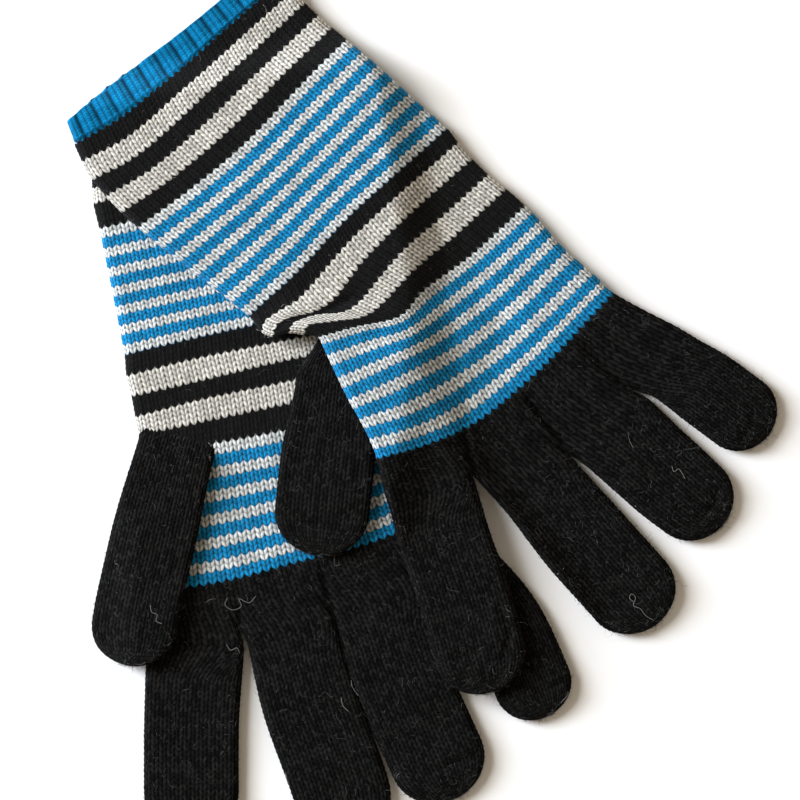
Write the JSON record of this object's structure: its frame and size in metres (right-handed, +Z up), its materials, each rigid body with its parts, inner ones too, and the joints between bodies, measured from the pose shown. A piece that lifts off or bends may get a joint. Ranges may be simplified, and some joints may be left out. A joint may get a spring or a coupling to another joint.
{
  "type": "pair of knitted gloves",
  "caption": "Pair of long-cuffed knitted gloves with a rib edge, striped wrists and palms and plain fingers, lying flat with one glove resting on the other.",
  "frame": {"origin": "centre of the pair's bounding box, on the surface that it lies on", "axes": "+Z up from the surface, +Y towards the cuffs, -Y towards the fingertips, +X towards the left glove's little finger"},
  "size_m": [0.255, 0.3168, 0.021],
  "materials": {
    "blue_rib": "bright blue ribbed wool knit, matt and slightly fuzzy",
    "striped_knit": "plain stocking-stitch wool knit in blue, off-white and black stripes, matt and slightly fuzzy",
    "black_knit": "black stocking-stitch wool knit, matt and fuzzy with a few pale fibres"
  },
  "bodies": {
    "right_hand": {"right_cuff": "blue_rib", "right_wrist": "striped_knit", "right_palm": "striped_knit", "right_knuckles": "black_knit", "right_index_base": "black_knit", "right_ring_base": "black_knit", "right_little_base": "black_knit"},
    "right_thumb": {"right_thumb": "black_knit"},
    "right_index_tip": {"right_index_end": "black_knit"},
    "right_middle": {"right_middle_base": "black_knit"},
    "right_middle_tip": {"right_middle_end": "black_knit"},
    "right_ring_tip": {"right_ring_end": "black_knit"},
    "right_little_tip": {"right_little_end": "black_knit"},
    "left_hand": {"left_cuff": "blue_rib", "left_wrist": "striped_knit", "left_palm": "striped_knit", "left_knuckles": "black_knit"},
    "left_thumb": {"left_thumb": "black_knit"},
    "left_index": {"left_index_base": "black_knit"},
    "left_index_tip": {"left_index_end": "black_knit"},
    "left_middle": {"left_middle_base": "black_knit"},
    "left_middle_tip": {"left_middle_end": "black_knit"},
    "left_ring": {"left_ring_base": "black_knit"},
    "left_ring_tip": {"left_ring_end": "black_knit"},
    "left_little": {"left_little_base": "black_knit"},
    "left_little_tip": {"left_little_end": "black_knit"}
  },
  "joints": [
    {"name": "right_thumb_fold", "type": "hinge", "parent": "right_hand", "child": "right_thumb", "pos_m": [-0.0879, -0.0173, 0.0131], "axis": [-0.9691, 0.2465, 0], "range_deg": [0, 70]},
    {"name": "right_index_curl", "type": "hinge", "parent": "right_hand", "child": "right_index_tip", "pos_m": [-0.08281, -0.11896, 0.0062], "axis": [-0.9998, 0.0198, 0], "range_deg": [0, 85]},
    {"name": "right_middle_knuckle", "type": "hinge", "parent": "right_hand", "child": "right_middle", "pos_m": [-0.0474, -0.0816, 0.0062], "axis": [-0.9712, -0.2382, 0], "range_deg": [0, 60]},
    {"name": "right_middle_curl", "type": "hinge", "parent": "right_middle", "child": "right_middle_tip", "pos_m": [-0.03904, -0.11402, 0.0062], "axis": [-0.9449, -0.3273, 0], "range_deg": [0, 85]},
    {"name": "right_ring_curl", "type": "hinge", "parent": "right_hand", "child": "right_ring_tip", "pos_m": [0.00054, -0.115, 0.0062], "axis": [-0.9237, -0.3831, 0], "range_deg": [0, 80]},
    {"name": "right_little_curl", "type": "hinge", "parent": "right_hand", "child": "right_little_tip", "pos_m": [0.03971, -0.10263, 0.0062], "axis": [-0.9256, -0.3784, 0], "range_deg": [0, 50]},
    {"name": "left_glove_lift", "type": "slide", "parent": "right_hand", "child": "left_hand", "axis": [0, 0, 1], "range_m": [0, 0.1]},
    {"name": "left_thumb_swing", "type": "hinge", "parent": "left_hand", "child": "left_thumb", "pos_m": [-0.0275, 0.017, 0.0079], "axis": [0, 0, 1], "range_deg": [-18, 0]},
    {"name": "left_index_knuckle", "type": "hinge", "parent": "left_hand", "child": "left_index", "pos_m": [0.0026, -0.0315, 0.01809], "axis": [-0.9587, -0.2844, 0], "range_deg": [0, 40]},
    {"name": "left_index_curl", "type": "hinge", "parent": "left_index", "child": "left_index_tip", "pos_m": [0.01233, -0.06246, 0.0131], "axis": [-0.9392, -0.3434, 0], "range_deg": [0, 60]},
    {"name": "left_middle_knuckle", "type": "hinge", "parent": "left_hand", "child": "left_middle", "pos_m": [0.0402, -0.0289, 0.00912], "axis": [-0.7691, -0.6392, 0], "range_deg": [0, 40]},
    {"name": "left_middle_curl", "type": "hinge", "parent": "left_middle", "child": "left_middle_tip", "pos_m": [0.05956, -0.05205, 0.00976], "axis": [-0.7506, -0.6608, 0], "range_deg": [0, 60]},
    {"name": "left_ring_knuckle", "type": "hinge", "parent": "left_hand", "child": "left_ring", "pos_m": [0.0682, -0.0105, 0.0063], "axis": [-0.6729, -0.7397, 0], "range_deg": [0, 40]},
    {"name": "left_ring_curl", "type": "hinge", "parent": "left_ring", "child": "left_ring_tip", "pos_m": [0.08578, -0.02651, 0.0063], "axis": [-0.6689, -0.7433, 0], "range_deg": [0, 60]},
    {"name": "left_little_knuckle", "type": "hinge", "parent": "left_hand", "child": "left_little", "pos_m": [0.0883, 0.0127, 0.0063], "axis": [-0.5563, -0.831, 0], "range_deg": [0, 40]},
    {"name": "left_little_curl", "type": "hinge", "parent": "left_little", "child": "left_little_tip", "pos_m": [0.10533, 0.00119, 0.0063], "axis": [-0.5851, -0.8109, 0], "range_deg": [0, 60]}
  ]
}
